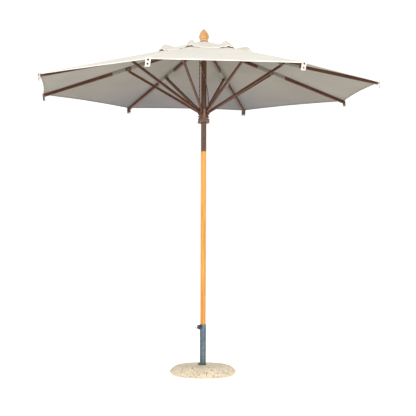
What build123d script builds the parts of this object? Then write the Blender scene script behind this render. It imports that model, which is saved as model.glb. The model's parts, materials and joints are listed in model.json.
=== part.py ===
from build123d import *
import os
from math import atan2, cos, hypot, pi, radians, sin, tan

os.makedirs("parts", exist_ok=True)

# A market umbrella with eight wooden ribs, a rope-and-pulley lift and a concrete base.
# Lengths are in millimetres. The origin is on the ground under the pole, and +Z is up.
# A bearing is measured from +X towards +Y, in degrees.

# driving dimensions
rib_count = 8
canopy_radius = 1250.0
canopy_apex = 2373.5
canopy_drop = 0.262
cloth = 1.5
hem_scallop = 16.0
vent_radius = 230.0
cap_radius = 365.0
pole_radius = 19.0
pole_splice = 1590.0
rope_radius = 3.5

# bearings
rib_step = 360 / rib_count
first_rib = -90 + rib_step / 2
rope_side = 180.0
pin_side = 263.0
knob_side = 222.0

# concrete base
slab_height = 70.0
slab_radius = 235.5
slab_foot = 205.0
slab_flat = 162.0
slab_widest = 26.0
socket_floor = 12.0

# base tube
tube_radius = 22.25
tube_bore = 19.6
tube_top = 357.0
lug_reach = 14.0
lug_height = 16.0
lug_thick = 4.0
lug_bearings = (173, 42, 283)

# clamp screws through the tube
knob_height = 351.0
screw_height = 329.0
boss_radius = 9.0
boss_reach = 31.0
screw_radius = 5.0
screw_end = 62.0
screw_collar = 2.5
collar_length = 12.0
bar_radius = 3.0
bar_length = 48.0
knob_radius = 14.0
knob_length = 18.0
knob_edge = 3.0
tip_gap = 0.4

# pole
pole_start = 20.0
pole_end = 2366.0
foot_spigot = 8.0
foot_gap = 0.2
spigot_length = 24.0
spigot_hole = 26.0
dowel_radius = 6.0
dowel_length = 64.0
pin_hole = 3.5
pin_hole_depth = 30.0
pin_pitch = 55.0
top_pin = 1795.9
parking_hole = 2062.0
strip_width = 13.6
strip_depth = 2.0
strip_low = 1594.0
strip_high = 1812.0

# rope pulley in the pole
pulley_height = 2272.0
pulley_pitch = 30.5
pulley_width = 11.0
pulley_flange = 3.5
axle_radius = 3.0
slot_width = 13.0
slot_spare = 10.0

# crown and finial
crown_low = 2318.0
crown_shoulder = 2364.0
crown_top = 2376.0
crown_radius = 56.0
crown_core = 26.0
crown_fit = 0.1
crown_foot_bevel = 10.0
crown_top_bevel = 6.0
hinge_radius = 45.0
pin_radius = 2.0
pin_seat = 5.5
running_gap = 0.05
finial_base = 2381.0
finial_top = 2473.3
finial_spigot = 5.0
finial_neck = 27.0
finial_flare = 5.0
flare_height = 6.0
neck_height = 14.0
under_belly_height = 22.0
finial_belly = 35.7
belly_height = 34.0
shoulder_radius = 23.0
shoulder_height = 70.0

# ribs and struts
rib_width = 15.0
rib_depth = 24.0
rib_tip_depth = 20.0
rib_taper = 60.0
rib_end = 1238.0
strut_width = 12.0
strut_depth = 18.0
joint_radius = 565.0
joint_drop = 21.5
bracket_sheet = 1.5
bracket_length = 24.0
bracket_ear = 7.0
bracket_low = 4.0
bracket_high = 5.0
side_gap = 0.5
slot_gap = 1.0
tab_width = 44.0
tab_height = 62.0
tab_inset = 3.0
cap_inner = 24.0
cap_lay = 2.5
cap_stand = 31.0

# runner
runner_low = 1799.2
runner_waist = 1855.0
runner_top = 1900.0
runner_radius = 42.0
runner_core = 34.0
runner_bore = 19.6
pivot_radius = 38.0
runner_bevel = 8.0
pivot_height = 1874.0
stub_reach = 2.5
groove_half = 2.3
groove_flare = 12.0
rope_socket = 8.0
socket_slack = 0.7
rope_shift = 4.0
turns_low = 1791.0
turns = 5
turn_gap = 0.4
turn_seat = 6.2
turn_bulge = 8.8

# lock pin and its peg, above the rope's turns
peg_height = 1836.0
peg_end = 54.0
peg_head = 4.0
peg_head_length = 2.0
lock_pin_radius = 48.0
lock_eye = 6.0
lock_sheet = 3.0
lock_shaft = 3.2
lock_shaft_length = 44.0

# values worked out from the dimensions above
slope = atan2(canopy_drop, 1)
rib_rise = rib_depth / 2 / cos(slope)
cloth_gap = 2.5
rib_line = canopy_apex - cloth - cloth_gap - rib_rise
hinge_height = rib_line - canopy_drop * hinge_radius
half_step = radians(rib_step / 2)
joint_along = (joint_radius - hinge_radius + joint_drop * sin(slope)) / cos(slope)
joint_height = hinge_height - joint_along * sin(slope) - joint_drop * cos(slope)
strut_length = hypot(joint_radius - pivot_radius, joint_height - pivot_height)
strut_tilt = atan2(pivot_height - joint_height, pivot_radius - joint_radius)
seam_gap = 0.2


def polar(bearing, radius, height):
    """The point at that bearing, radius and height."""
    return (radius * cos(radians(bearing)), radius * sin(radians(bearing)), height)


def side_plane(bearing, radius=0.0, height=0.0, turn=0.0):
    """A plane that holds the pole's axis: x points outwards, turned up by turn radians."""
    b = radians(bearing)
    outward = Vector(cos(b), sin(b), 0)
    x_dir = outward * cos(turn) + Vector(0, 0, 1) * sin(turn)
    return Plane(origin=outward * radius + Vector(0, 0, height), x_dir=x_dir, z_dir=(sin(b), -cos(b), 0))


def radial_plane(bearing, radius, height):
    """A plane at that radius that faces outwards, with y up."""
    b = radians(bearing)
    return Plane(origin=polar(bearing, radius, height), x_dir=(-sin(b), cos(b), 0), z_dir=(cos(b), sin(b), 0))


def write(builder, label):
    """Labels a finished piece and writes it."""
    builder.part.label = label
    export_step(builder.part, f"parts/{label}.step")


rib_bearings = [first_rib + rib_step * i for i in range(rib_count)]

# --- base -------------------------------------------------------------------------------------

with BuildPart() as base_slab:
    with BuildSketch(Plane.XZ):
        with BuildLine():
            Polyline((0, slab_height), (0, 0), (slab_foot, 0))
            TangentArc((slab_foot, 0), (slab_radius, slab_widest), tangent=(1, 0.25))
            Line((0, slab_height), (slab_flat, slab_height))
            TangentArc((slab_flat, slab_height), (slab_radius, slab_widest), tangent=(1, 0))
        make_face()
    revolve(axis=Axis.Z)
    with BuildSketch(Plane.XY.offset(socket_floor)):
        Circle(tube_radius)
    extrude(amount=slab_height, mode=Mode.SUBTRACT)
write(base_slab, "base_slab")

with BuildPart() as base_tube:
    with BuildSketch(Plane.XY.offset(socket_floor)):
        Circle(tube_radius)
        Circle(tube_bore, mode=Mode.SUBTRACT)
    extrude(amount=tube_top - socket_floor)
    for bearing, height in ((knob_side, knob_height - boss_radius), (rope_side, screw_height)):
        with BuildSketch(radial_plane(bearing, tube_bore + 1, height)):
            Circle(boss_radius)
        extrude(amount=boss_reach - tube_bore - 1)
    with BuildSketch(Plane.XY.offset(socket_floor)):
        Circle(tube_bore)
    extrude(amount=tube_top, mode=Mode.SUBTRACT)
    for bearing, height in ((knob_side, knob_height - boss_radius), (rope_side, screw_height)):
        with BuildSketch(radial_plane(bearing, 0, height)):
            Circle(screw_radius + running_gap)
        extrude(amount=boss_reach + 1, mode=Mode.SUBTRACT)
write(base_tube, "base_tube")

with BuildPart() as tube_lugs:
    for bearing in lug_bearings:
        with BuildSketch(side_plane(bearing, tube_radius, slab_height)):
            with BuildLine():
                Polyline((0, 0), (lug_reach, 0), (lug_reach, lug_height / 3), (lug_reach / 3, lug_height))
                Polyline((lug_reach / 3, lug_height), (0, lug_height), (0, 0))
            make_face()
        extrude(amount=lug_thick / 2, both=True)
write(tube_lugs, "tube_lugs")

# the knob's screw and the plain screw both press on the pole through the tube
with BuildPart() as clamp_knob:
    with BuildSketch(radial_plane(knob_side, pole_radius + tip_gap, knob_height - boss_radius)):
        Circle(screw_radius)
    extrude(amount=boss_reach - pole_radius)
    with BuildSketch(radial_plane(knob_side, boss_reach + tip_gap, knob_height - boss_radius)):
        Circle(knob_radius)
    extrude(amount=knob_length)
    knob_rim = clamp_knob.edges().filter_by(GeomType.CIRCLE).group_by(SortBy.RADIUS)[-1]
    fillet(knob_rim, radius=knob_edge)
write(clamp_knob, "clamp_knob")

with BuildPart() as clamp_screw:
    with BuildSketch(radial_plane(rope_side, pole_radius + tip_gap, screw_height)):
        Circle(screw_radius)
    extrude(amount=screw_end - pole_radius - tip_gap)
    with BuildSketch(radial_plane(rope_side, screw_end - collar_length, screw_height)):
        Circle(screw_radius + screw_collar)
    extrude(amount=collar_length)
    with BuildSketch(Plane.XZ.offset(-bar_length / 2)):
        with Locations((collar_length / 2 - screw_end, screw_height)):
            Circle(bar_radius)
    extrude(amount=bar_length)
write(clamp_screw, "clamp_screw")

# --- pole -------------------------------------------------------------------------------------

with BuildPart() as pole_foot:
    with BuildSketch(Plane.XY.offset(socket_floor + foot_gap)):
        Circle(pole_radius)
    extrude(amount=pole_start - socket_floor - 2 * foot_gap)
    with BuildSketch(Plane.XY.offset(pole_start - foot_gap)):
        Circle(foot_spigot)
    extrude(amount=spigot_length)
write(pole_foot, "pole_foot")

with BuildPart() as pole_lower:
    with BuildSketch(Plane.XY.offset(pole_start)):
        Circle(pole_radius)
    extrude(amount=pole_splice - pole_start)
    with BuildSketch(Plane.XY.offset(pole_start)):
        Circle(foot_spigot + running_gap)
    extrude(amount=spigot_hole, mode=Mode.SUBTRACT)
    with BuildSketch(Plane.XY.offset(pole_splice - dowel_length / 2)):
        Circle(dowel_radius)
    extrude(amount=dowel_length / 2, mode=Mode.SUBTRACT)
write(pole_lower, "pole_lower")

with BuildPart() as pole_dowel:
    with BuildSketch(Plane.XY.offset(pole_splice - dowel_length / 2)):
        Circle(dowel_radius)
    extrude(amount=dowel_length * 0.875)
write(pole_dowel, "pole_dowel")

with BuildPart() as pole_upper:
    with BuildSketch(Plane.XY.offset(pole_splice)):
        Circle(pole_radius)
    extrude(amount=pole_end - pole_splice)
    with BuildSketch(Plane.XY.offset(pole_splice)):
        Circle(dowel_radius)
    extrude(amount=dowel_length * 0.375, mode=Mode.SUBTRACT)
    with BuildSketch(Plane.XY.offset(pole_end - spigot_hole)):
        Circle(finial_spigot + running_gap)
    extrude(amount=spigot_hole, mode=Mode.SUBTRACT)
    for height in [top_pin - pin_pitch * i for i in range(4)] + [parking_hole]:
        with BuildSketch(radial_plane(pin_side, pole_radius - pin_hole_depth, height)):
            Circle(pin_hole)
        extrude(amount=pin_hole_depth + 1, mode=Mode.SUBTRACT)
    with BuildSketch(radial_plane(pin_side, pole_radius - strip_depth, (strip_low + strip_high) / 2)):
        Rectangle(strip_width, strip_high - strip_low)
    extrude(amount=strip_depth + 1, mode=Mode.SUBTRACT)
    with BuildSketch(Plane.YZ.offset(-pole_radius - 1)):
        with Locations((0, pulley_height)):
            Rectangle(slot_width, 2 * pulley_pitch + slot_spare)
    extrude(amount=2 * pole_radius + 2, mode=Mode.SUBTRACT)
    with BuildSketch(Plane.XZ.offset(-pole_radius)):
        with Locations((0, pulley_height)):
            Circle(axle_radius)
    extrude(amount=2 * pole_radius, mode=Mode.SUBTRACT)
write(pole_upper, "pole_upper")

with BuildPart() as pin_strip:
    with BuildSketch(Plane.XY.offset(strip_low)):
        Circle(pole_radius)
    extrude(amount=strip_high - strip_low)
    with BuildSketch(radial_plane(pin_side, pole_radius - strip_depth, (strip_low + strip_high) / 2)):
        Rectangle(strip_width, strip_high - strip_low)
    extrude(amount=strip_depth + 1, mode=Mode.INTERSECT)
    for height in [top_pin - pin_pitch * i for i in range(4)]:
        with BuildSketch(radial_plane(pin_side, 0, height)):
            Circle(pin_hole)
        extrude(amount=pole_radius + 1, mode=Mode.SUBTRACT)
write(pin_strip, "pin_strip")

with BuildPart() as pulley:
    half = pulley_width / 2
    bore = axle_radius + running_gap
    groove = pulley_pitch - rope_radius
    rim = groove + pulley_flange
    with BuildSketch(Plane.XY):
        with BuildLine():
            ThreePointArc((rim, -half), (groove, 0), (rim, half))
            Polyline((rim, half), (bore, half), (bore, -half), (rim, -half))
        make_face()
    revolve(axis=Axis.Y)
pulley.part.position = (0, 0, pulley_height)
write(pulley, "pulley")

with BuildPart() as pulley_axle:
    with BuildSketch(Plane.XZ.offset(-pole_radius + 1)):
        with Locations((0, pulley_height)):
            Circle(axle_radius)
    extrude(amount=2 * pole_radius - 2)
write(pulley_axle, "pulley_axle")

# --- crown and finial -------------------------------------------------------------------------

with BuildPart() as crown:
    with BuildSketch(Plane.XZ):
        with BuildLine():
            bore = pole_radius + crown_fit
            foot_corner = (crown_radius, crown_low + crown_foot_bevel)
            top_corner = (crown_radius, crown_shoulder - crown_top_bevel)
            Polyline((bore, crown_low), (crown_radius - crown_foot_bevel, crown_low), foot_corner)
            Line(foot_corner, top_corner)
            inner_corner = (crown_core, crown_shoulder)
            Polyline(top_corner, (crown_radius - crown_top_bevel, crown_shoulder), inner_corner)
            Polyline(inner_corner, (crown_core, crown_top), (bore, crown_top), (bore, crown_low))
        make_face()
    revolve(axis=Axis.Z)
    for bearing in rib_bearings:
        with BuildSketch(side_plane(bearing, hinge_radius - rib_depth / 2 - slot_gap, crown_low - slot_gap)):
            Rectangle(crown_radius, crown_radius, align=Align.MIN)
        extrude(amount=rib_width / 2 + side_gap, both=True, mode=Mode.SUBTRACT)
        with BuildSketch(side_plane(bearing, hinge_radius, hinge_height)):
            Circle(pin_radius)
        extrude(amount=rib_width / 2 + pin_seat, both=True, mode=Mode.SUBTRACT)
write(crown, "crown")

with BuildPart() as crown_pins:
    for bearing in rib_bearings:
        with BuildSketch(side_plane(bearing, hinge_radius, hinge_height)):
            Circle(pin_radius)
        extrude(amount=rib_width / 2 + pin_seat, both=True)
write(crown_pins, "crown_pins")

with BuildPart() as finial:
    with BuildSketch(Plane.XZ):
        with BuildLine():
            spigot_low = pole_end - spigot_length
            belly = (finial_belly, finial_base + belly_height)
            under_belly = (finial_belly - 2, finial_base + under_belly_height)
            neck = (finial_neck + 1, finial_base + neck_height)
            flare = (finial_neck, finial_base + flare_height)
            tip = (0, finial_top)
            Polyline((finial_spigot, finial_base), (finial_spigot, spigot_low), (0, spigot_low), tip)
            ThreePointArc(tip, (shoulder_radius, finial_base + shoulder_height), belly)
            ThreePointArc(belly, under_belly, neck)
            Polyline(neck, flare, (finial_neck + finial_flare, finial_base), (finial_spigot, finial_base))
        make_face()
    revolve(axis=Axis.Z)
write(finial, "finial")

# --- runner -----------------------------------------------------------------------------------

with BuildPart() as runner:
    with BuildSketch(Plane.XZ):
        with BuildLine():
            Polyline((runner_bore, runner_low), (runner_core, runner_low), (runner_core, runner_waist))
            Polyline((runner_core, runner_waist), (runner_radius, runner_waist))
            Polyline((runner_radius, runner_waist), (runner_radius, runner_top - runner_bevel))
            Polyline((runner_radius, runner_top - runner_bevel), (runner_radius - runner_bevel, runner_top))
            Polyline((runner_radius - runner_bevel, runner_top), (runner_bore, runner_top))
            Line((runner_bore, runner_top), (runner_bore, runner_low))
        make_face()
    revolve(axis=Axis.Z)
    for bearing in rib_bearings:
        with BuildSketch(side_plane(bearing, pivot_radius - strut_depth / 2 - side_gap, runner_waist)):
            Rectangle(runner_radius, runner_radius + runner_bevel, align=Align.MIN)
        extrude(amount=strut_width / 2 + side_gap, both=True, mode=Mode.SUBTRACT)
        # the stubs on the strut's end sit in grooves that open downwards
        with BuildSketch(side_plane(bearing, pivot_radius, pivot_height)):
            with BuildLine():
                reach = pivot_height - runner_waist + slot_gap
                groove_top = [(-groove_half, groove_half), (groove_half, groove_half)]
                Polyline(*groove_top, (groove_flare, -reach), (-groove_half, -reach), close=True)
            make_face()
        extrude(amount=strut_width / 2 + stub_reach + slot_gap, both=True, mode=Mode.SUBTRACT)
    for x in (-pulley_pitch, pulley_pitch + rope_shift):
        with BuildSketch(Plane.XY.offset(runner_top - rope_socket)):
            with Locations((x, 0)):
                Circle(rope_radius + socket_slack)
        extrude(amount=rope_socket, mode=Mode.SUBTRACT)
write(runner, "runner")

# the lock pin hangs on a peg in the runner's side
with BuildPart() as runner_peg:
    with BuildSketch(radial_plane(rope_side, runner_core, peg_height)):
        Circle(pin_radius)
    extrude(amount=peg_end - runner_core)
    with BuildSketch(radial_plane(rope_side, peg_end - peg_head_length, peg_height)):
        Circle(peg_head)
    extrude(amount=peg_head_length)
write(runner_peg, "runner_peg")

with BuildPart() as lock_pin:
    with BuildSketch(radial_plane(rope_side, lock_pin_radius - lock_sheet / 2, peg_height)):
        Circle(lock_eye)
        with Locations((0, -lock_eye)):
            Rectangle(lock_eye, lock_eye)
        Circle(pin_radius + running_gap, mode=Mode.SUBTRACT)
    extrude(amount=lock_sheet)
    with BuildSketch(Plane.XY.offset(peg_height - lock_eye - lock_shaft_length)):
        with Locations((-lock_pin_radius, 0)):
            Circle(lock_shaft)
    extrude(amount=lock_shaft_length)
write(lock_pin, "lock_pin")

# --- halyard ----------------------------------------------------------------------------------

# Up from the runner's left side, over the pulley, once round the back of the pole, and down
# across its front to the runner's right side. Each corner has its bend radius beside it.
octagon = pulley_pitch * tan(radians(22.5))
halyard_route = [
    (-pulley_pitch, 0, runner_top - 2 * rope_radius),
    (-pulley_pitch, 0, pulley_height + octagon),
    (-octagon, 0, pulley_height + pulley_pitch),
    (octagon, 0, pulley_height + pulley_pitch),
    (pulley_pitch, 0, pulley_height + octagon),
    (pulley_pitch + 0.5, 4, pulley_height - 12),
    polar(48, 28, 2251),
    polar(98, 26, 2243),
    polar(150, 25.5, 2233),
    polar(200, 25, 2213),
    polar(238, 25.5, 2170),
    polar(276, 26, 2112),
    polar(318, 29, 2046),
    polar(352, 33.5, 1972),
    (pulley_pitch + rope_shift, 0, runner_top - 2 * rope_radius),
]


def corner_radii(route, share=0.45):
    """The bend radius at each corner: as large as the two runs beside it leave room for."""
    radii = []
    for before, at, after in zip(route, route[1:], route[2:]):
        run_in = Vector(*at) - Vector(*before)
        run_out = Vector(*after) - Vector(*at)
        turn = radians(run_in.get_angle(run_out))
        radii.append(share * min(run_in.length, run_out.length) / tan(turn / 2))
    return radii


halyard_radii = corner_radii(halyard_route)
print("halyard bend radii", [round(r) for r in halyard_radii])

with BuildPart() as halyard:
    with BuildLine() as halyard_path:
        FilletPolyline(*halyard_route, radius=halyard_radii)
    with BuildSketch(Plane(origin=halyard_route[0], z_dir=(0, 0, 1))):
        Circle(rope_radius)
    sweep()
write(halyard, "halyard")
path_length = halyard_path.wires()[0].length
print("halyard length", round(path_length, 1))
print("halyard volume over section times length", halyard.part.volume / (pi * rope_radius**2 * path_length))

# the spare rope is wound on the runner's waist, and its end hangs out below
with BuildPart() as halyard_turns:
    pitch = 2 * rope_radius + turn_gap
    with BuildSketch(Plane.XZ):
        with BuildLine():
            inner = runner_core + foot_gap
            seat = runner_core + turn_seat
            bulge = runner_core + turn_bulge
            high = turns_low + turns * pitch
            for i in range(turns):
                z = turns_low + pitch * i
                ThreePointArc((seat, z), (bulge, z + pitch / 2), (seat, z + pitch))
            Polyline((seat, high), (inner, high), (inner, turns_low), (seat, turns_low))
        make_face()
    revolve(axis=Axis.Z)
write(halyard_turns, "halyard_turns")

# --- ribs, struts and cloth -------------------------------------------------------------------


def make_rib(bearing, number):
    """A tapered wooden rib with its hinge bore at the crown."""
    length = (rib_end - hinge_radius) / cos(slope)
    top = rib_depth / 2
    taper_from = joint_along + rib_taper
    with BuildPart() as rib:
        with BuildSketch(side_plane(bearing, hinge_radius, hinge_height, -slope)):
            with BuildLine():
                Polyline((0, top), (length, top), (length, top - rib_tip_depth), (taper_from, -top))
                Line((taper_from, -top), (0, -top))
                ThreePointArc((0, -top), (-top, 0), (0, top))
            make_face()
            Circle(pin_radius + running_gap, mode=Mode.SUBTRACT)
        extrude(amount=rib_width / 2, both=True)
    write(rib, f"rib_{number}")


def make_bracket(bearing, number):
    """Two cheeks on the rib's sides with the strut's pivot pin between them."""
    left = joint_along - bracket_length / 2
    right = joint_along + bracket_length / 2
    ear_left = (joint_along - bracket_ear, -joint_drop)
    ear_right = (joint_along + bracket_ear, -joint_drop)
    with BuildPart() as bracket:
        for side in (-1, 1):
            cheek = side_plane(bearing, hinge_radius, hinge_height, -slope).offset(
                side * (rib_width / 2 + bracket_sheet / 2)
            )
            with BuildSketch(cheek):
                with BuildLine():
                    Polyline(ear_left, (left, -bracket_low), (left, bracket_high), (right, bracket_high))
                    Polyline((right, bracket_high), (right, -bracket_low), ear_right)
                    ThreePointArc(ear_right, (joint_along, -joint_drop - bracket_ear), ear_left)
                make_face()
            extrude(amount=bracket_sheet / 2, both=True)
        with BuildSketch(side_plane(bearing, hinge_radius, hinge_height, -slope)):
            with Locations((joint_along, -joint_drop)):
                Circle(pin_radius)
        extrude(amount=rib_width / 2 + 2 * bracket_sheet, both=True)
    write(bracket, f"rib_bracket_{number}")


def make_strut(bearing, number):
    """A strut from the rib's bracket to the runner, with stubs that sit in the runner's grooves."""
    half = strut_depth / 2
    with BuildPart() as strut:
        with BuildSketch(side_plane(bearing, joint_radius, joint_height, strut_tilt)):
            with Locations((strut_length / 2, 0)):
                SlotCenterToCenter(strut_length, strut_depth)
            Circle(pin_radius + running_gap, mode=Mode.SUBTRACT)
        extrude(amount=strut_width / 2, both=True)
        with BuildSketch(side_plane(bearing, joint_radius, joint_height, strut_tilt)):
            with Locations((strut_length, 0)):
                Circle(pin_radius)
        extrude(amount=strut_width / 2 + stub_reach, both=True)
    write(strut, f"strut_{number}")


def half_gore(bearing, side, inner, outer, inner_z, outer_z, seam_z, scallop):
    """The plane and the four corners, in that plane, of the cloth from a rib to the seam beside it.

    inner_z and outer_z are the heights over the rib, and seam_z is the hem's height at the seam.
    """
    rib_in = Vector(*polar(bearing, inner, inner_z))
    rib_out = Vector(*polar(bearing, outer, outer_z))
    seam_bearing = bearing + side * rib_step / 2
    seam_edge = outer * cos(half_step) - scallop
    seam_out = Vector(*polar(seam_bearing, seam_edge, seam_z))
    seam_in = Vector(*polar(seam_bearing, inner * cos(half_step), inner_z))
    normal = (rib_out - rib_in).cross(seam_out - rib_in)
    if normal.Z < 0:
        normal = normal * -1
    gap = Vector(*polar(seam_bearing - side * 90, seam_gap / 2, 0))
    corners = [rib_in, rib_out]
    for point in (seam_out + gap, seam_in + gap):
        # each seam corner is raised or lowered on to the plane
        lift = normal.dot(rib_in - point) / normal.Z
        corners.append(point + Vector(0, 0, lift))
    plane = Plane(origin=rib_in, x_dir=rib_out - rib_in, z_dir=normal)
    return plane, [plane.to_local_coords(corner) for corner in corners]


def make_panel(bearing, number):
    """Main canopy cloth over one rib, from seam to seam, with the tab at the rib's end."""
    edge_z = canopy_apex - canopy_drop * canopy_radius - cloth
    vent_z = canopy_apex - canopy_drop * vent_radius - cloth
    # the scallop follows the slope between the seams
    seam_z = edge_z + canopy_drop / cos(half_step) * hem_scallop
    with BuildPart() as panel:
        for side in (-1, 1):
            plane, local = half_gore(
                bearing, side, vent_radius, canopy_radius, vent_z, edge_z, seam_z, hem_scallop
            )
            hem_flow = (local[2] - local[3]).rotate(Axis.Z, -90 * side)
            with BuildSketch(plane):
                with BuildLine():
                    Line(local[0], local[1])
                    TangentArc(local[2], local[1], tangent=hem_flow)
                    Line(local[2], local[3])
                    Line(local[3], local[0])
                make_face()
            extrude(amount=cloth, dir=(0, 0, 1))
        with BuildSketch(radial_plane(bearing, canopy_radius - tab_inset, edge_z + 1)):
            with Locations((0, -tab_height / 2)):
                Rectangle(tab_width, tab_height)
        extrude(amount=cloth)
    write(panel, f"canopy_panel_{number}")


def make_cap(bearing, number):
    """Vent cap cloth over one rib. It stands off the canopy at the ribs and lies on it between."""
    lay_z = canopy_apex - canopy_drop * cap_radius + cap_lay
    inner_z = finial_base - cloth - crown_fit
    with BuildPart() as cap:
        for side in (-1, 1):
            plane, local = half_gore(
                bearing, side, cap_inner, cap_radius, inner_z, lay_z + cap_stand, lay_z, 0
            )
            with BuildSketch(plane):
                with BuildLine():
                    Polyline(*local, close=True)
                make_face()
            extrude(amount=cloth, dir=(0, 0, 1))
    write(cap, f"vent_cap_{number}")


for number, bearing in enumerate(rib_bearings, start=1):
    make_rib(bearing, number)
    make_bracket(bearing, number)
    make_strut(bearing, number)
    make_panel(bearing, number)
    make_cap(bearing, number)
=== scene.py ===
import json
import math

import bpy
import numpy as np
from mathutils import Euler, Matrix, Vector


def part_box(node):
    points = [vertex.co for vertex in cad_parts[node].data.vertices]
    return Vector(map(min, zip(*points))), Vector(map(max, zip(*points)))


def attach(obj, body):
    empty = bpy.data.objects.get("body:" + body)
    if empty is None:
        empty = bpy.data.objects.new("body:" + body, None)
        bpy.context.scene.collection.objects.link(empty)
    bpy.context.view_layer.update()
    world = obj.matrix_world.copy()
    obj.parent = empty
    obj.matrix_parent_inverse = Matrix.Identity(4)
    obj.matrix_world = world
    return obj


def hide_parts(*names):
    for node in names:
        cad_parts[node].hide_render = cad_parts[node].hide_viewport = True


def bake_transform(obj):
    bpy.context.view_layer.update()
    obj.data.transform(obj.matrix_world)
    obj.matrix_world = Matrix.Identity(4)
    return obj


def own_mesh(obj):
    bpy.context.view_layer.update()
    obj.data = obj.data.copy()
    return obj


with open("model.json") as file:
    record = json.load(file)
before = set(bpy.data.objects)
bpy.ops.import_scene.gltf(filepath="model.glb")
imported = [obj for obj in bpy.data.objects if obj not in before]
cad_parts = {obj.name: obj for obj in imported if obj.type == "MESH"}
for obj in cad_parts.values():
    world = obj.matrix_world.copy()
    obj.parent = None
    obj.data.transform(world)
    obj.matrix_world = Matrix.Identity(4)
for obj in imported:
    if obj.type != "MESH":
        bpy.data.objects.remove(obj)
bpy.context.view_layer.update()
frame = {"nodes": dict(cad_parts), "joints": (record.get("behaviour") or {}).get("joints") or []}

# Lengths are in metres. A bearing is measured from +X towards +Y, in degrees.

# the umbrella's driving sizes
RIBS = 8
STEP = 360 / RIBS
BEARINGS = [-90 + STEP / 2 + STEP * i for i in range(RIBS)]
CANOPY_RADIUS = 1.25
CANOPY_APEX = 2.3735
CANOPY_DROP = 0.262
CLOTH = 0.0012
VENT_RADIUS = 0.23
HEM_SCALLOP = 0.016
HEM_LIP = 0.0055
HEM_STITCH = 1.135
HEM_ROWS_APART = 0.012
SEAM_HALF = 0.0085
THREAD = 0.0008
STITCHES_PER_METRE = 250.0
STITCHES_PER_RADIAN = 300.0
STITCH_SHARE = 0.66
CAP_RADIUS = 0.365
CAP_INNER = 0.024
CAP_LIFT = 0.0125
CAP_FLIP = 0.042
CAP_ROLL = 0.028
SLOPE = math.atan(CANOPY_DROP)
HALF_STEP = math.radians(STEP / 2)

# hinges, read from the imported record
JOINTS = {j["name"]: j for j in frame["joints"]}
CROWN_HINGE = JOINTS["rib_1_fold"]["pos_m"]
HINGE_RADIUS = math.hypot(CROWN_HINGE[0], CROWN_HINGE[1])
HINGE_HEIGHT = CROWN_HINGE[2]
STRUT_HINGE = JOINTS["strut_1_fold"]["pos_m"]
PULLEY_HEIGHT = JOINTS["pulley_spin"]["pos_m"][2]
RUNNER_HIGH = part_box("runner")[1][2]
ROPE_RADIUS = 0.0035
PULLEY_PITCH = 0.0305
TURNS_RADIUS = 0.0382


# --- small mesh tools ---------------------------------------------------------------------------


def polar(bearing, radius, height=0.0):
    """The point at that bearing, radius and height."""
    b = math.radians(bearing)
    return Vector((radius * math.cos(b), radius * math.sin(b), height))


def add_mesh(name, points, faces, materials, face_material=None, sharp=40):
    """A mesh object with smooth faces, whose edges above that angle are sharp."""
    mesh = bpy.data.meshes.new(name)
    mesh.from_pydata([tuple(p) for p in points], [], [tuple(f) for f in faces])
    for material in materials:
        mesh.materials.append(material)
    if face_material is not None:
        mesh.polygons.foreach_set("material_index", np.array(face_material, np.int32))
    mesh.polygons.foreach_set("use_smooth", [True] * len(mesh.polygons))
    mesh.set_sharp_from_angle(angle=math.radians(sharp))
    mesh.validate()
    mesh.update()
    obj = bpy.data.objects.new(name, mesh)
    bpy.context.scene.collection.objects.link(obj)
    return obj


def join_parts(parts):
    """Several (points, faces) as one."""
    points, faces, start = [], [], 0
    for part_points, part_faces in parts:
        points += [tuple(p) for p in part_points]
        faces += [tuple(i + start for i in f) for f in part_faces]
        start = len(points)
    return points, faces


def sweep(path, radius, sides=8, closed_ends=True):
    """A round tube along a path of points, with a frame that doesn't twist."""
    path = [Vector(p) for p in path]
    points, faces = [], []
    side = None
    for i, at in enumerate(path):
        along = (path[min(i + 1, len(path) - 1)] - path[max(i - 1, 0)]).normalized()
        if side is None:
            side = along.orthogonal().normalized()
        side = (side - along * side.dot(along)).normalized()
        up = along.cross(side)
        for k in range(sides):
            a = 2 * math.pi * k / sides
            points.append(at + (side * math.cos(a) + up * math.sin(a)) * radius)
    for i in range(len(path) - 1):
        for k in range(sides):
            j = (k + 1) % sides
            faces.append((i * sides + k, i * sides + j, (i + 1) * sides + j, (i + 1) * sides + k))
    if closed_ends:
        faces.append(tuple(range(sides))[::-1])
        faces.append(tuple(range((len(path) - 1) * sides, len(path) * sides)))
    return points, faces


def lathe(profile, matrix, sides=32):
    """A closed solid of revolution. The profile is (radius, height) from axis to axis."""
    points, faces = [], []
    inner = profile[1:-1]
    for radius, height in inner:
        for k in range(sides):
            a = 2 * math.pi * k / sides
            points.append(matrix @ Vector((radius * math.cos(a), radius * math.sin(a), height)))
    for i in range(len(inner) - 1):
        for k in range(sides):
            j = (k + 1) % sides
            faces.append((i * sides + k, i * sides + j, (i + 1) * sides + j, (i + 1) * sides + k))
    points.append(matrix @ Vector((0, 0, profile[0][1])))
    points.append(matrix @ Vector((0, 0, profile[-1][1])))
    low, high = len(points) - 2, len(points) - 1
    last = (len(inner) - 1) * sides
    for k in range(sides):
        j = (k + 1) % sides
        faces.append((low, j, k))
        faces.append((high, last + k, last + j))
    return points, faces


def facing(origin, direction, up=(0, 0, 1)):
    """A matrix at origin whose Z points along direction and whose Y is as near up as it can be."""
    z = Vector(direction).normalized()
    x = Vector(up).cross(z)
    if x.length < 1e-6:
        x = z.orthogonal()
    x.normalize()
    y = z.cross(x)
    matrix = Matrix((x, y, z)).transposed().to_4x4()
    matrix.translation = Vector(origin)
    return matrix


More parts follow.
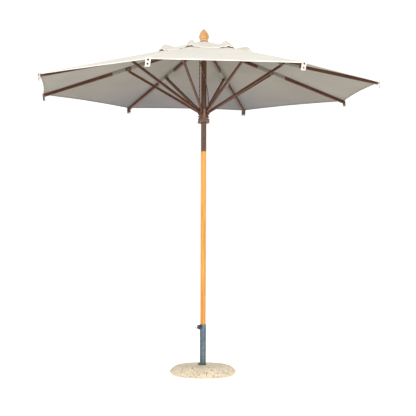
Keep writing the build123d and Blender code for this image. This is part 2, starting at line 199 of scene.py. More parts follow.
def rib_frame(bearing):
    """At the rib's hinge: X runs along the rib outwards, Y across it, Z up square to it."""
    outward = polar(bearing, 1)
    x = outward * math.cos(SLOPE) - Vector((0, 0, math.sin(SLOPE)))
    z = outward * math.sin(SLOPE) + Vector((0, 0, math.cos(SLOPE)))
    y = z.cross(x)
    matrix = Matrix((x, y, z)).transposed().to_4x4()
    matrix.translation = polar(bearing, HINGE_RADIUS, HINGE_HEIGHT)
    return matrix


JOINT_ALONG = (rib_frame(BEARINGS[0]).inverted() @ Vector(STRUT_HINGE)).x

# --- materials ----------------------------------------------------------------------------------


class Nodes:
    """A short way to write a material's node tree."""

    def __init__(self, name):
        self.material = bpy.data.materials.new(name)
        self.material.use_nodes = True
        self.tree = self.material.node_tree
        self.shader = self.tree.nodes["Principled BSDF"]

    def add(self, kind, **inputs):
        node = self.tree.nodes.new(kind)
        for key, value in inputs.items():
            self.put(node, key, value)
        return node

    def put(self, node, key, value):
        target = node.inputs[int(key[1:])] if key[:1] == "i" and key[1:].isdigit() else node.inputs[key]
        if isinstance(value, bpy.types.NodeSocket):
            self.tree.links.new(value, target)
        else:
            target.default_value = value

    def place(self, scale=(1, 1, 1), turn=(0, 0, 0)):
        """The piece's own coordinates in metres, turned and then scaled."""
        where = self.add("ShaderNodeTexCoord")
        turned = self.add("ShaderNodeMapping", Vector=where.outputs["Object"], Rotation=turn)
        return self.add("ShaderNodeMapping", Vector=turned.outputs[0], Scale=scale).outputs[0]

    def noise(self, vector, scale, detail=4.0, rough=0.5, distort=0.0):
        node = self.add("ShaderNodeTexNoise", Vector=vector, Scale=scale, Detail=detail)
        node.inputs["Roughness"].default_value = rough
        node.inputs["Distortion"].default_value = distort
        return node.outputs["Fac"]

    def ramp(self, value, *stops):
        node = self.add("ShaderNodeValToRGB", Fac=value)
        elements = node.color_ramp.elements
        while len(elements) < len(stops):
            elements.new(0.5)
        for element, (position, colour) in zip(elements, stops):
            element.position = position
            element.color = (*colour, 1) if len(colour) == 3 else colour
        return node.outputs["Color"]

    def math(self, operation, a, b):
        node = self.add("ShaderNodeMath", i0=a, i1=b)
        node.operation = operation
        return node.outputs[0]

    def mix(self, factor, a, b, kind="MIX"):
        node = self.tree.nodes.new("ShaderNodeMix")
        node.data_type = "RGBA"
        node.blend_type = kind
        self.put(node, "i0", factor)
        self.put(node, "i6", a)
        self.put(node, "i7", b)
        return node.outputs[2]

    def spread(self, value, low, high):
        """A value from 0..1 as a roughness or similar between low and high."""
        node = self.add("ShaderNodeMapRange", Value=value)
        node.inputs["To Min"].default_value = low
        node.inputs["To Max"].default_value = high
        return node.outputs[0]

    def bump(self, height, strength, distance=0.001):
        node = self.add("ShaderNodeBump", Height=height, Strength=strength, Distance=distance)
        self.put(self.shader, "Normal", node.outputs[0])

    def set(self, **values):
        for key, value in values.items():
            self.put(self.shader, key.replace("_", " "), value)
        return self.material


def grey(value):
    return (value, value, value)


def wood(name, dark, mid, light, turn=(0, 0, 0), rough=(0.40, 0.56), coat=0.12):
    """Varnished wood whose grain runs along Z before the turn."""
    n = Nodes(name)
    grain = n.place(scale=(60, 60, 2.2), turn=turn)
    streaks = n.noise(grain, 1.0, detail=6, rough=0.62, distort=1.2)
    fine = n.noise(n.place(scale=(420, 420, 9), turn=turn), 1.0, detail=3)
    broad = n.noise(n.place(scale=(7, 7, 1.6), turn=turn), 1.0, detail=2)
    base = n.ramp(streaks, (0.28, dark), (0.52, mid), (0.78, light))
    pores = n.ramp(fine, (0.35, grey(0.72)), (0.55, grey(1.0)))
    tone = n.ramp(broad, (0.3, grey(0.86)), (0.7, grey(1.08)))
    colour = n.mix(1.0, n.mix(1.0, base, pores, "MULTIPLY"), tone, "MULTIPLY")
    n.bump(n.math("ADD", streaks, n.math("MULTIPLY", fine, 0.6)), 0.12, 0.0006)
    return n.set(
        Base_Color=colour,
        Roughness=n.spread(streaks, *rough),
        Coat_Weight=coat,
        Coat_Roughness=0.22,
    )


def sewn_lines(n, hem_distance):
    """Where sewing thread shows, 0 or 1: two lines along each rib and seam, and two along the hem."""
    split = n.add("ShaderNodeSeparateXYZ", Vector=n.place())
    x, y = split.outputs["X"], split.outputs["Y"]
    step = math.radians(STEP) / 2
    around = n.math("ADD", n.math("ARCTAN2", y, x), math.radians(-BEARINGS[0]) + 8 * step)
    radius = n.math("SQRT", n.math("ADD", n.math("MULTIPLY", x, x), n.math("MULTIPLY", y, y)), 0.0)
    near = n.math("SUBTRACT", n.math("MODULO", n.math("ADD", around, step / 2), step), step / 2)
    aside = n.math("ABSOLUTE", n.math("MULTIPLY", near, radius), 0.0)
    line = n.math("LESS_THAN", n.math("ABSOLUTE", n.math("SUBTRACT", aside, SEAM_HALF), 0.0), THREAD * 0.875)
    wide = n.math("SUBTRACT", n.math("MODULO", around, 2 * step), step)
    out = n.math("MULTIPLY", radius, n.math("COSINE", n.math("ABSOLUTE", wide, 0.0), 0.0))
    hems = [
        n.math("LESS_THAN", n.math("ABSOLUTE", n.math("SUBTRACT", out, at), 0.0), THREAD)
        for at in (hem_distance, hem_distance - HEM_ROWS_APART)
    ]
    outwards = n.math("MODULO", n.math("MULTIPLY", radius, STITCHES_PER_METRE), 1.0)
    along = n.math("LESS_THAN", outwards, STITCH_SHARE)
    sideways = n.math("MODULO", n.math("MULTIPLY", around, STITCHES_PER_RADIAN), 1.0)
    turned = n.math("LESS_THAN", sideways, STITCH_SHARE)
    hem = n.math("MULTIPLY", n.math("MAXIMUM", *hems), turned)
    return n.math("MAXIMUM", n.math("MULTIPLY", line, along), hem)


def cloth(name, light, shade, weave=1400.0, far_painted_shade=None, hem_distance=None):
    """Woven acrylic: a fine plain weave, faint slubs and soft blotches, darkened and tinted bluish towards
    +Y, the far side, as painted shade if asked.
    """
    n = Nodes(name)
    across = n.add("ShaderNodeTexWave", Vector=n.place(), Scale=weave / 6.283)
    along = n.add("ShaderNodeTexWave", Vector=n.place(turn=(0, 0, math.pi / 2)), Scale=weave / 6.283)
    threads = n.math("MULTIPLY", across.outputs["Fac"], along.outputs["Fac"])
    slubs = n.noise(n.place(scale=(30, 220, 60)), 1.0, detail=3)
    blotch = n.noise(n.place(), 3.2, detail=3)
    base = n.ramp(blotch, (0.30, shade), (0.66, light))
    detail = n.ramp(threads, (0.0, grey(0.93)), (0.5, grey(1.0)))
    slub_tone = n.ramp(slubs, (0.3, grey(0.965)), (0.7, grey(1.02)))
    colour = n.mix(1.0, n.mix(1.0, base, detail, "MULTIPLY"), slub_tone, "MULTIPLY")
    # painted shade: darker and bluish towards +Y, where the far side of the underside lies in deeper shade
    if far_painted_shade:
        split = n.add("ShaderNodeSeparateXYZ", Vector=n.place())
        depth = n.add("ShaderNodeMapRange", Value=split.outputs["Y"])
        depth.inputs["From Min"].default_value = 0.40
        depth.inputs["From Max"].default_value = 1.05
        tint = n.ramp(depth.outputs[0], (0.0, grey(1.0)), (1.0, far_painted_shade))
        colour = n.mix(1.0, colour, tint, "MULTIPLY")
    height = n.math("ADD", threads, n.math("MULTIPLY", slubs, 0.5))
    if hem_distance:
        thread = sewn_lines(n, hem_distance)
        colour = n.mix(n.math("MULTIPLY", thread, 0.55), colour, tuple(c * 0.55 for c in shade) + (1,))
        height = n.math("SUBTRACT", height, n.math("MULTIPLY", thread, 2.0))
    n.bump(height, 0.18, 0.0004)
    return n.set(
        Base_Color=colour,
        Roughness=n.spread(slubs, 0.82, 0.95),
        Sheen_Weight=0.18,
        Sheen_Roughness=0.5,
    )


def metal(name, colour, dark, rough=(0.25, 0.45), metallic=0.9, spangle=60.0):
    """Plated or galvanised metal with a faint crystal pattern and handling marks."""
    n = Nodes(name)
    cells = n.add("ShaderNodeTexVoronoi", Vector=n.place(), Scale=spangle)
    marks = n.noise(n.place(), 35.0, detail=6, rough=0.65)
    base = n.ramp(n.math("MULTIPLY", cells.outputs["Distance"], marks), (0.05, dark), (0.45, colour))
    n.bump(marks, 0.08, 0.0004)
    return n.set(Base_Color=base, Metallic=metallic, Roughness=n.spread(marks, *rough))


def plastic(name, colour, rough=(0.35, 0.5)):
    """Moulded plastic with a fine grain."""
    n = Nodes(name)
    grain = n.noise(n.place(), 900.0, detail=3)
    tone = n.noise(n.place(), 40.0, detail=2)
    lighter = tuple(min(1.0, c * 1.6 + 0.01) for c in colour)
    base = n.ramp(tone, (0.3, colour), (0.75, lighter))
    n.bump(grain, 0.15, 0.0003)
    return n.set(Base_Color=base, Roughness=n.spread(grain, *rough))


def pebbled_concrete(name):
    """Washed gravel: rounded pebbles of several colours standing out of pale mortar."""
    n = Nodes(name)
    where = n.place()
    big = n.add("ShaderNodeTexVoronoi", Vector=where, Scale=82.0, Randomness=0.95)
    small = n.add("ShaderNodeTexVoronoi", Vector=where, Scale=230.0)
    dust = n.noise(where, 700.0, detail=5, rough=0.7)
    patches = n.noise(where, 9.0, detail=3)
    split = n.add("ShaderNodeSeparateColor", Color=big.outputs["Color"])
    stone = n.ramp(
        split.outputs[0],
        (0.00, (0.93, 0.83, 0.64)),
        (0.18, (0.80, 0.66, 0.45)),
        (0.30, (0.95, 0.88, 0.72)),
        (0.46, (0.30, 0.21, 0.13)),
        (0.52, (0.90, 0.80, 0.60)),
        (0.70, (0.62, 0.56, 0.47)),
        (0.78, (0.96, 0.90, 0.77)),
        (0.93, (0.20, 0.15, 0.11)),
    )
    grit = n.ramp(small.outputs["Distance"], (0.1, (0.90, 0.80, 0.60)), (0.6, (0.70, 0.58, 0.41)))
    mask = n.ramp(big.outputs["Distance"], (0.36, grey(1.0)), (0.50, grey(0.0)))
    body = n.mix(mask, grit, stone)
    speckle = n.ramp(dust, (0.30, grey(0.80)), (0.60, grey(1.04)))
    tone = n.ramp(patches, (0.3, grey(0.92)), (0.7, grey(1.05)))
    colour = n.mix(1.0, n.mix(1.0, body, speckle, "MULTIPLY"), tone, "MULTIPLY")
    rise = n.ramp(big.outputs["Distance"], (0.0, grey(1.0)), (0.5, grey(0.1)))
    height = n.math("ADD", n.math("MULTIPLY", rise, 1.0), n.math("MULTIPLY", dust, 0.25))
    n.bump(height, 0.8, 0.0022)
    return n.set(Base_Color=colour, Roughness=n.spread(dust, 0.72, 0.92))


def rope_fibre(name, light, dark):
    """Twisted fibre: darker in the lay and slightly fuzzy."""
    n = Nodes(name)
    fibres = n.noise(n.place(scale=(1, 1, 0.5)), 1600.0, detail=3)
    wear = n.noise(n.place(), 60.0, detail=3)
    fuzz = n.math("ADD", n.math("MULTIPLY", fibres, 0.6), n.math("MULTIPLY", wear, 0.4))
    base = n.ramp(fuzz, (0.35, dark), (0.62, light))
    n.bump(fibres, 0.5, 0.0005)
    return n.set(Base_Color=base, Roughness=n.spread(fibres, 0.75, 0.95), Sheen_Weight=0.3)


STAINED = ((0.060, 0.018, 0.0065), (0.118, 0.040, 0.0135), (0.185, 0.072, 0.026))
NATURAL = ((0.56, 0.19, 0.014), (0.80, 0.345, 0.036), (0.90, 0.47, 0.080))

natural_wood = wood("natural_wood", *NATURAL, coat=0.2)
finial_wood = wood("finial_wood", (0.60, 0.25, 0.08), (0.76, 0.40, 0.15), (0.86, 0.54, 0.26), coat=0.45)
pole_stain = wood("pole_stain", *STAINED)
hub_stain = wood("hub_stain", (0.075, 0.026, 0.011), (0.14, 0.052, 0.022), (0.21, 0.09, 0.04))
canopy_cloth = cloth("canopy_cloth", (0.80, 0.755, 0.645), (0.745, 0.70, 0.595), hem_distance=HEM_STITCH)
# painted shade: the canopy's underside is the same cream cloth as its top, coloured dark grey-brown for the
# shade beneath it
underside_painted_shade = cloth(
    "underside_painted_shade",
    (0.282, 0.248, 0.194),
    (0.244, 0.217, 0.171),
    far_painted_shade=(0.66, 0.68, 0.83),
    hem_distance=HEM_STITCH,
)
cap_lining = cloth("cap_lining", (0.80, 0.72, 0.56), (0.74, 0.66, 0.50))
eyelet_black = metal("eyelet_black", (0.05, 0.045, 0.04), (0.02, 0.018, 0.016), rough=(0.3, 0.45))
hem_cloth = cloth("hem_cloth", (0.92, 0.885, 0.80), (0.87, 0.835, 0.75), weave=1100.0)
# painted shade: the sleeves are canopy cloth, coloured dark grey for the shade under the canopy
sleeve_painted_shade = cloth("sleeve_painted_shade", (0.30, 0.27, 0.22), (0.23, 0.205, 0.17))
tab_cloth = cloth("tab_cloth", (0.78, 0.72, 0.64), (0.70, 0.65, 0.57), weave=900.0)
galvanised = metal("galvanised", (0.175, 0.235, 0.255), (0.10, 0.14, 0.16), rough=(0.30, 0.42))
zinc = metal("zinc", (0.78, 0.80, 0.78), (0.52, 0.55, 0.54), rough=(0.22, 0.38))
dull_strip = metal(
    "dull_strip", (0.118, 0.078, 0.054), (0.072, 0.046, 0.032), rough=(0.5, 0.68), metallic=0.35
)
brass = metal("brass", (0.80, 0.56, 0.24), (0.55, 0.36, 0.14), rough=(0.2, 0.35))
black_plastic = plastic("black_plastic", (0.012, 0.012, 0.014))
bronze = metal("bronze", (0.30, 0.21, 0.12), (0.16, 0.11, 0.07), rough=(0.35, 0.5))
# painted shade: dark brown for the back of each rib-end tab, which lies in shade
tab_back_painted_shade = plastic("tab_back_painted_shade", (0.075, 0.045, 0.032), rough=(0.55, 0.75))
concrete = pebbled_concrete("concrete")
rope_dark = rope_fibre("rope_dark", (0.085, 0.058, 0.042), (0.030, 0.020, 0.014))
rope_light = rope_fibre("rope_light", (0.34, 0.27, 0.18), (0.17, 0.125, 0.08))
rope_wound = rope_fibre("rope_wound", (0.19, 0.108, 0.066), (0.070, 0.036, 0.022))
rope_pale = rope_fibre("rope_pale", (0.33, 0.215, 0.14), (0.16, 0.10, 0.064))


def paint(node, material):
    """Gives a CAD node its material."""
    slots = frame["nodes"][node].data.materials
    if len(slots):
        for i in range(len(slots)):
            slots[i] = material
    else:
        slots.append(material)


paint("base_slab", concrete)
paint("base_tube", galvanised)
paint("tube_lugs", galvanised)
paint("clamp_knob", black_plastic)
paint("clamp_screw", zinc)
paint("pole_foot", black_plastic)
paint("pole_lower", natural_wood)
paint("pole_dowel", brass)
paint("pole_upper", pole_stain)
paint("pin_strip", dull_strip)
paint("pulley", brass)
paint("pulley_axle", zinc)
paint("crown", hub_stain)
paint("crown_pins", zinc)
paint("finial", finial_wood)
paint("runner", hub_stain)
paint("runner_peg", brass)
paint("lock_pin", zinc)
for number, bearing in enumerate(BEARINGS, start=1):
    turn = -math.radians(bearing)
    arm = wood(f"arm_stain_{number}", *STAINED, turn=(0, math.pi / 2, turn))
    paint(f"rib_{number}", arm)
    paint(f"strut_{number}", arm)
    paint(f"rib_bracket_{number}", bronze)

# --- camera -------------------------------------------------------------------------------------

CAMERA_BEARING = -97.03
CAMERA_DISTANCE = 7.39
CAMERA_HEIGHT = 0.94
CAMERA_PITCH = math.radians(1.904)
CAMERA_YAW = math.radians(0.255)
CAMERA_ROLL = math.radians(0.2)
CAMERA_LENS = 89.55

camera = bpy.data.objects.new("camera", bpy.data.cameras.new("camera"))
bpy.context.scene.collection.objects.link(camera)
camera.data.lens = CAMERA_LENS
camera.data.sensor_width = 36
camera.data.clip_end = 100
camera.location = polar(CAMERA_BEARING, CAMERA_DISTANCE, CAMERA_HEIGHT)
look = Euler((math.pi / 2 + CAMERA_PITCH, 0, math.radians(CAMERA_BEARING + 90) - CAMERA_YAW)).to_matrix()
camera.rotation_euler = (look @ Matrix.Rotation(CAMERA_ROLL, 3, "Z")).to_euler()
bpy.context.scene.camera = camera

# --- halyard ------------------------------------------------------------------------------------

octagon = PULLEY_PITCH * math.tan(math.radians(22.5))
HALYARD_ROUTE = [
    (-PULLEY_PITCH, 0, RUNNER_HIGH - 0.007),
    (-PULLEY_PITCH, 0, PULLEY_HEIGHT - 0.045),
    (-PULLEY_PITCH, 0, PULLEY_HEIGHT + octagon),
    (-octagon, 0, PULLEY_HEIGHT + PULLEY_PITCH),
    (octagon, 0, PULLEY_HEIGHT + PULLEY_PITCH),
    (PULLEY_PITCH, 0, PULLEY_HEIGHT + octagon),
    (PULLEY_PITCH + 0.0005, 0.004, PULLEY_HEIGHT - 0.012),
    polar(48, 0.028, 2.251),
    polar(98, 0.026, 2.243),
    polar(150, 0.0255, 2.233),
    polar(200, 0.025, 2.213),
    polar(238, 0.0255, 2.170),
    polar(276, 0.026, 2.112),
    polar(318, 0.029, 2.046),
    polar(352, 0.0335, 1.972),
    (PULLEY_PITCH + 0.004, 0, RUNNER_HIGH - 0.007),
]


def spline_points(route, steps=24):
    """The points down the middle of the route's smooth NURBS line."""
    curve = bpy.data.curves.new("route", "CURVE")
    curve.dimensions = "3D"
    spline = curve.splines.new("NURBS")
    spline.points.add(len(route) - 1)
    for point, place in zip(spline.points, route):
        point.co = (*place, 1)
    spline.order_u = 3
    spline.use_endpoint_u = True
    curve.resolution_u = steps
    bare = bpy.data.objects.new("route", curve)
    mesh = bpy.data.meshes.new_from_object(bare)
    line = [v.co.copy() for v in mesh.vertices]
    bpy.data.meshes.remove(mesh)
    bpy.data.objects.remove(bare)
    bpy.data.curves.remove(curve)
    return line


def evenly(line, step):
    """The line again with points one step apart."""
    points = np.array([tuple(p) for p in line])
    runs = np.linalg.norm(np.diff(points, axis=0), axis=1)
    along = np.concatenate([[0], np.cumsum(runs)])
    at = np.linspace(0, along[-1], int(along[-1] / step) + 1)
    return [Vector([np.interp(a, along, points[:, k]) for k in range(3)]) for a in at], along[-1]


def laid_rope(name, route, materials, lay):
    """A rope of twisted strands, one per material. Returns the piece, its middle line and its length."""
    line, length = evenly(spline_points(route), 0.0016)
    strands = len(materials)
    offset = ROPE_RADIUS * 0.48
    strand_radius = ROPE_RADIUS * 0.56
    side = None
    paths = [[] for _ in range(strands)]
    travelled = 0.0
    for i, at in enumerate(line):
        along = (line[min(i + 1, len(line) - 1)] - line[max(i - 1, 0)]).normalized()
        if side is None:
            side = along.orthogonal().normalized()
        side = (side - along * side.dot(along)).normalized()
        up = along.cross(side)
        for k in range(strands):
            a = 2 * math.pi * (travelled / lay + k / strands)
            paths[k].append(at + (side * math.cos(a) + up * math.sin(a)) * offset)
        if i + 1 < len(line):
            travelled += (line[i + 1] - at).length
    parts = [sweep(path, strand_radius, 8) for path in paths]
    slots = [k for k, part in enumerate(parts) for _ in part[1]]
    points, faces = join_parts(parts)
    return add_mesh(name, points, faces, materials, slots, sharp=80), line, length


halyard, halyard_line, halyard_length = laid_rope(
    "halyard_rope", HALYARD_ROUTE, [rope_dark, rope_dark, rope_light], 0.030
)
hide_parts("halyard")
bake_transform(halyard)

# the spare rope: close turns on the runner's waist, then one loop that crosses over them at the front
TURNS = 4
turns_low, turns_high = (corner[2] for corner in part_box("halyard_turns"))
turns_low += ROPE_RADIUS + 0.0003
turns_high -= ROPE_RADIUS + 0.0003
per_turn = 16
coil_route = [
    polar(
        160 + 360 * i / per_turn,
        TURNS_RADIUS + 0.0008,
        turns_high + (turns_low - turns_high) * i / (TURNS * per_turn),
    )
    for i in range(TURNS * per_turn + 1)
]
CROSSING = (
    (182, 0.0425, 0.0005),
    (200, 0.0460, 0.0030),
    (220, 0.0466, 0.0085),
    (240, 0.0468, 0.0150),
    (262, 0.0468, 0.0225),
    (284, 0.0466, 0.0300),
    (304, 0.0455, 0.0365),
    (324, 0.0425, 0.0410),
)
coil_route += [polar(bearing, radius, turns_low + rise) for bearing, radius, rise in CROSSING]
coil_route += [polar(344 + 22.5 * i, 0.0388, turns_low + 0.0435 + 0.0002 * i) for i in range(11)]
coil, coil_line, coil_length = laid_rope(
    "halyard_coil", coil_route, [rope_wound, rope_wound, rope_pale], 0.022
)
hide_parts("halyard_turns")
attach(coil, "runner_hub")

# --- canopy cloth -------------------------------------------------------------------------------


def ripple(seed, u, v):
    """A smooth made-up unevenness between -1 and 1, the same on every run."""
    total = 0.0
    for k in range(4):
        first = math.sin(u * (3.1 + 2.7 * k) + seed * (1.7 + k))
        second = math.cos(v * (2.3 + 1.9 * k) + seed * 2.9 * (k + 1))
        total += first * second / (k + 1.5)
    return total / 1.6


def smooth(value):
    """Rises smoothly from 0 to 1 as the value goes from 0 to 1."""
    value = min(1.0, max(0.0, value))
    return value * value * (3 - 2 * value)


def panel_sag(s, bow):
    """How far tensioned cloth hangs between the ribs."""
    return 0.0085 * bow * math.sin(math.pi * min(1.0, 0.08 + 0.92 * s)) ** 0.8


def panel_point(bearing, side, s, t):
    """A point of the main canopy's outer face: s from vent to hem, t from the rib to the seam."""
    radius = VENT_RADIUS + (CANOPY_RADIUS - VENT_RADIUS) * s
    height = CANOPY_APEX - CANOPY_DROP * radius
    rib = polar(bearing, radius, height)
    seam = polar(bearing + side * STEP / 2, radius * math.cos(HALF_STEP), height)
    point = rib.lerp(seam, t)
    bow = 1 - (1 - t) ** 2
    inward = polar(bearing + side * STEP / 2, -1)
    inset = HEM_SCALLOP * bow * s ** 3
    point += inward * inset
    point.z += inset * CANOPY_DROP / math.cos(HALF_STEP)
    point.z -= panel_sag(s, bow)
    # puckers where the cloth is sewn along the rib, and slight unevenness elsewhere
    pucker = 0.0008 * math.sin(math.radians(bearing) * 5 + s * 150) * math.exp(-t * 16)
    seam_bearing = bearing + side * STEP / 2
    uneven = 0.0011 * ripple(seam_bearing * 0.05, s * 9, (1 - t) * 2 * side) * bow
    point.z += pucker * min(1, t * 25) + uneven * (1 - 0.6 * (t == 1))
    return point


def cap_point(bearing, side, s, t):
    """A point of the vent cap's outer face. Its loose hem flips up at each rib and lies down between."""
    radius = CAP_INNER + (CAP_RADIUS - CAP_INNER) * s
    height = CANOPY_APEX - CANOPY_DROP * radius
    rib = polar(bearing, radius, height)
    seam = polar(bearing + side * STEP / 2, radius * math.cos(HALF_STEP), height)
    point = rib.lerp(seam, t)
    bow = 1 - (1 - t) ** 2
    seed = math.radians(bearing) * 3 + side
    lie = CAP_LIFT - 0.007 * s
    under = max(0.0, (radius - VENT_RADIUS) / (CANOPY_RADIUS - VENT_RADIUS))
    lie -= (panel_sag(under, bow) - 0.001) * s * bow
    rise = smooth((s - 0.62) / 0.30)
    roll = smooth((s - 0.90) / 0.10)
    puff = math.exp(-(t / (0.34 + 0.08 * math.sin(seed * 2.1))) ** 2)
    full = 0.94 + 0.06 * math.sin(math.radians(bearing) * 5)
    flip = (CAP_FLIP * rise - CAP_ROLL * roll) * full * puff
    curl = 0.006 * rise * math.sin(t * 15 + seed) * min(1, t * 7) * (1 - t) ** 1.5
    point.z += lie + flip + curl
    return point + polar(bearing, -0.010 * rise * puff)


def cloth_piece(rows, face_slots):
    """A closed thin sheet from rows of outer points. Slot 1 is its underside."""
    top = np.array([[tuple(p) for p in row] for row in rows])
    along = np.gradient(top, axis=0)
    across = np.gradient(top, axis=1)
    normal = np.cross(along, across)
    normal /= np.linalg.norm(normal, axis=2, keepdims=True)
    if normal[..., 2].mean() < 0:
        normal = -normal
    under = top - normal * CLOTH
    count, width = top.shape[:2]
    points = np.concatenate([top.reshape(-1, 3), under.reshape(-1, 3)])
    base = count * width
    faces, slots = [], []
    for i in range(count - 1):
        for k in range(width - 1):
            a, b, c, d = i * width + k, (i + 1) * width + k, (i + 1) * width + k + 1, i * width + k + 1
            faces.append((a, b, c, d))
            slots.append(face_slots(i, count))
            faces.append((base + d, base + c, base + b, base + a))
            slots.append(1)
    rim = [(0, k) for k in range(width)] + [(i, width - 1) for i in range(1, count)]
    rim += [(count - 1, k) for k in range(width - 2, -1, -1)] + [(i, 0) for i in range(count - 2, 0, -1)]
    for (i, k), (m, n) in zip(rim, rim[1:] + rim[:1]):
        a, b = i * width + k, m * width + n
        faces.append((b, a, base + a, base + b))
        slots.append(0)
    return points, faces, slots


def sector_rows(point_at, bearing, fractions, across):
    """Rows of points over one rib, from one seam to the other."""
    rows = []
    for s in fractions:
        left = [point_at(bearing, -1, s, t) for t in reversed(across)]
        right = [point_at(bearing, 1, s, t) for t in across[1:]]
        rows.append(left + right)
    return rows


ACROSS = [0, 0.02, 0.05, 0.1, 0.17, 0.25, 0.34, 0.44, 0.55, 0.66, 0.77, 0.88, 1.0]


def make_panel(number, bearing):
    """The main cloth over one rib, with a turned-down hem."""
    fractions = [i / 44 for i in range(44)] + [0.985, 0.992, 1.0]
    rows = sector_rows(panel_point, bearing, fractions, ACROSS)
    hem = rows[-1]
    rows.append([p + Vector((0, 0, -0.35 * HEM_LIP)) + polar(bearing, 0.0008) for p in hem])
    rows.append([p + Vector((0, 0, -HEM_LIP)) + polar(bearing, 0.0002) for p in hem])
    lip = len(rows) - 5
    points, faces, slots = cloth_piece(rows, lambda i, n: 2 if i >= lip else 0)
    # slot 1, the underside, carries the painted shade
    materials = [canopy_cloth, underside_painted_shade, hem_cloth]
    piece = add_mesh(f"panel_{number}", points, faces, materials, slots, sharp=55)
    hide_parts(f"canopy_panel_{number}")
    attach(piece, f"rib_arm_{number}")
    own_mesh(piece)
    return piece


def make_cap(number, bearing):
    """The vent cap's cloth over one rib, with its loose wavy hem."""
    fractions = [i / 10 for i in range(6)] + [0.5 + i / 40 for i in range(1, 18)] + [0.95, 0.97, 0.985, 1.0]
    rows = sector_rows(cap_point, bearing, fractions, ACROSS)
    hem = rows[-1]
    rows.append([p + Vector((0, 0, -0.006)) for p in hem])
    points, faces, slots = cloth_piece(rows, lambda i, n: 2 if i >= n - 3 else 0)
    piece = add_mesh(f"cap_{number}", points, faces, [canopy_cloth, cap_lining, hem_cloth], slots, sharp=55)
    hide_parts(f"vent_cap_{number}")
    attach(piece, f"rib_arm_{number}")
    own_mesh(piece)
    return piece


def rounded_plate(matrix, width, height, depth, bevel):
    """A plate with rounded corners and a bevelled front. Its back lies on the matrix's XY plane."""
    sides = 32
    points, faces = [], []
    for inset, out in ((0.0, 0.0), (0.0, depth - bevel), (bevel, depth)):
        for k in range(sides):
            a = 2 * math.pi * k / sides
            x = math.copysign(abs(math.cos(a)) ** 0.3, math.cos(a)) * (width / 2 - inset)
            y = math.copysign(abs(math.sin(a)) ** 0.3, math.sin(a)) * (height / 2 - inset)
            points.append(matrix @ Vector((x, y, out)))
    for row in (0, sides):
        for k in range(sides):
            j = (k + 1) % sides
            faces.append((row + k, row + j, row + sides + j, row + sides + k))
    faces.append(tuple(range(sides))[::-1])
    faces.append(tuple(range(2 * sides, 3 * sides)))
    return points, faces


def make_tab(number, bearing):
    """The folded tab sewn on at the rib's end, a dark sheet on its back standing in as painted shade, its
    eyelets and the rib's brass plate.
    """
    wide, tall, thick = 0.035, 0.056, 0.0028
    columns, rows = 8, 12
    top = CANOPY_APEX - CANOPY_DROP * CANOPY_RADIUS + 0.005
    outward = polar(bearing, 1)
    across = polar(bearing + 90, 1)
    lean = 0.25 * math.sin(math.radians(bearing) * 3 + 3.2) - 0.05
    front = CANOPY_RADIUS + 0.0012
    grid = []
    for i in range(rows + 1):
        drop = i / rows
        row = []
        for k in range(columns + 1):
            shift = (k / columns - 0.5) * wide * (1 - 0.06 * drop)
            out = front - 0.0035 * drop + 0.0008 * math.sin(shift * 140 + bearing) * drop
            aside = across * (shift + lean * drop * tall)
            row.append(outward * out + aside + Vector((0, 0, top - drop * tall)))
        grid.append(row)
    count, width = rows + 1, columns + 1
    flat = [p for row in grid for p in row]
    points = flat + [p - outward * thick for p in flat]
    base = len(flat)
    faces = []
    for i in range(count - 1):
        for k in range(width - 1):
            a, b, c, d = i * width + k, i * width + k + 1, (i + 1) * width + k + 1, (i + 1) * width + k
            faces.append((d, c, b, a))
            faces.append((base + a, base + b, base + c, base + d))
    rim = [(0, k) for k in range(width)] + [(i, width - 1) for i in range(1, count)]
    rim += [(count - 1, k) for k in range(width - 2, -1, -1)] + [(i, 0) for i in range(count - 2, 0, -1)]
    for (i, k), (m, n) in zip(rim, rim[1:] + rim[:1]):
        a, b = i * width + k, m * width + n
        faces.append((a, b, base + b, base + a))
    tab = add_mesh(f"tab_{number}", points, faces, [tab_cloth])
    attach(tab, f"rib_arm_{number}")

    def on_tab(drop, depth):
        shift = across * (lean * drop * tall) + Vector((0, 0, top - drop * tall))
        return outward * (front - 0.0035 * drop + depth) + shift

    # painted shade: a dark brown sheet on the tab's inner face, where the tab's back lies in shade
    matrix = facing(on_tab(0.53, 0.0002 - thick), -outward)
    shade_sheet_shape = rounded_plate(matrix, 0.027, 0.048, 0.0016, 0.0006)
    shade_sheet = add_mesh(f"tab_shade_sheet_{number}", *shade_sheet_shape, [tab_back_painted_shade], sharp=50)
    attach(shade_sheet, f"rib_arm_{number}")
    ring = [(0, 0.0006), (0.0040, 0.0006), (0.0042, 0.0010), (0.0054, 0.0015)]
    ring += [(0.0066, 0.0004), (0.0066, -0.0008), (0, -0.0008)]
    eyelets = [lathe(ring, facing(on_tab(drop, 0), outward), 20) for drop in (0.26, 0.70)]
    rings = add_mesh(f"eyelets_{number}", *join_parts(eyelets), [eyelet_black])
    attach(rings, f"rib_arm_{number}")
    # a brass plate and its screw close the rib's end
    middle = rib_frame(bearing) @ Vector(((1.2385 - HINGE_RADIUS) / math.cos(SLOPE), 0, 0.002))
    plate = facing(middle, rib_frame(bearing).to_3x3() @ Vector((1, 0, 0)))
    screw = [(0, 0.0), (0.0048, 0.0), (0.0042, 0.0016), (0.0022, 0.0026), (0, 0.0028)]
    parts = [rounded_plate(plate, 0.0165, 0.0215, 0.0022, 0.0007)]
    parts.append(lathe(screw, plate @ Matrix.Translation((0, 0.004, 0.0021)), 20))
    ends = add_mesh(f"rib_end_{number}", *join_parts(parts), [brass])
    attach(ends, f"rib_arm_{number}")


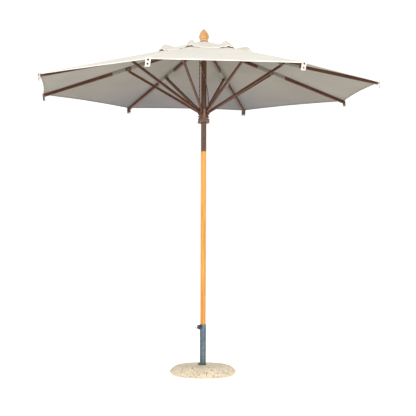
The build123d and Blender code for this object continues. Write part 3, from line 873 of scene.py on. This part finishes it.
def make_sleeves(number, bearing):
    """Cloth sleeves sewn round the rib, each side of the strut's bracket."""
    matrix = rib_frame(bearing)
    middle = JOINT_ALONG
    parts = []
    for start, end in ((middle - 0.122, middle - 0.020), (middle + 0.024, middle + 0.128)):
        rows = 10
        section = [(-0.0082, 0.0118), (-0.0084, -0.0115), (-0.0066, -0.0135)]
        section += [(-y, z) for y, z in reversed(section)]
        points, faces = [], []
        for i in range(rows + 1):
            x = start + (end - start) * i / rows
            puff = 1 + 0.05 * math.sin(i * 2.1 + bearing) + 0.10 * math.sin(math.pi * i / rows)
            for y, z in section:
                points.append(matrix @ Vector((x, y * puff, z * (puff if z < 0 else 1))))
        n = len(section)
        for i in range(rows):
            for k in range(n - 1):
                faces.append((i * n + k, (i + 1) * n + k, (i + 1) * n + k + 1, i * n + k + 1))
            faces.append((i * n + n - 1, (i + 1) * n + n - 1, (i + 1) * n, i * n))
        faces.append(tuple(range(n)))
        faces.append(tuple(range(rows * n, rows * n + n))[::-1])
        parts.append((points, faces))
    points, faces = join_parts(parts)
    # the sleeves' dark grey is painted shade
    sleeve = add_mesh(f"sleeves_{number}", points, faces, [sleeve_painted_shade], sharp=60)
    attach(sleeve, f"rib_arm_{number}")


for number, bearing in enumerate(BEARINGS, start=1):
    make_panel(number, bearing)
    make_cap(number, bearing)
    make_tab(number, bearing)
    make_sleeves(number, bearing)

# --- stage --------------------------------------------------------------------------------------


FLOOR_GLOW = 0.40


def make_stage():
    """A plain pale floor that curves up into a backdrop."""
    n = Nodes("floor_paint")
    tone = n.noise(n.place(), 0.6, detail=2)
    n.set(Base_Color=n.ramp(tone, (0.3, grey(0.86)), (0.7, grey(0.88))), Roughness=0.9)
    n.set(Emission_Color=(1, 1, 1, 1), Emission_Strength=FLOOR_GLOW)
    size, back, radius = 30.0, 9.0, 6.0
    outline = [(-size, 0.0), (back, 0.0)]
    bend = np.linspace(0, math.pi / 2, 25)[1:]
    outline += [(back + radius * math.sin(a), radius - radius * math.cos(a)) for a in bend]
    outline += [(back + radius, size)]
    turn = Matrix.Rotation(math.radians(CAMERA_BEARING + 90), 4, "Z")
    points, faces = [], []
    for y, z in outline:
        for x in (-size, size):
            points.append(turn @ Vector((x, y, z - 0.0005)))
    for i in range(len(outline) - 1):
        faces.append((2 * i, 2 * i + 1, 2 * i + 3, 2 * i + 2))
    floor = add_mesh("floor", points, faces, [n.material])


def add_light(name, bearing, distance, height, size, power, aim=(0, 0, 1.4)):
    """A soft square light at a bearing from the camera's side, aimed at the umbrella."""
    light = bpy.data.lights.new(name, "AREA")
    light.shape = "SQUARE"
    light.size = size
    light.energy = power
    obj = bpy.data.objects.new(name, light)
    bpy.context.scene.collection.objects.link(obj)
    obj.location = polar(CAMERA_BEARING + bearing, distance, height)
    obj.rotation_euler = (Vector(aim) - obj.location).to_track_quat("-Z", "Y").to_euler()


make_stage()
add_light("key", 12, 7.4, 2.8, 1.3, 320)
add_light("fill", -62, 6.5, 3.0, 2.4, 90)
add_light("top", 150, 4.0, 6.5, 3.0, 110)

world = bpy.data.worlds.new("studio")
bpy.context.scene.world = world
world.use_nodes = True
world.node_tree.nodes["Background"].inputs["Color"].default_value = (1.0, 1.0, 1.0, 1)
world.node_tree.nodes["Background"].inputs["Strength"].default_value = 0.52
bpy.context.scene.view_settings.view_transform = "Standard"
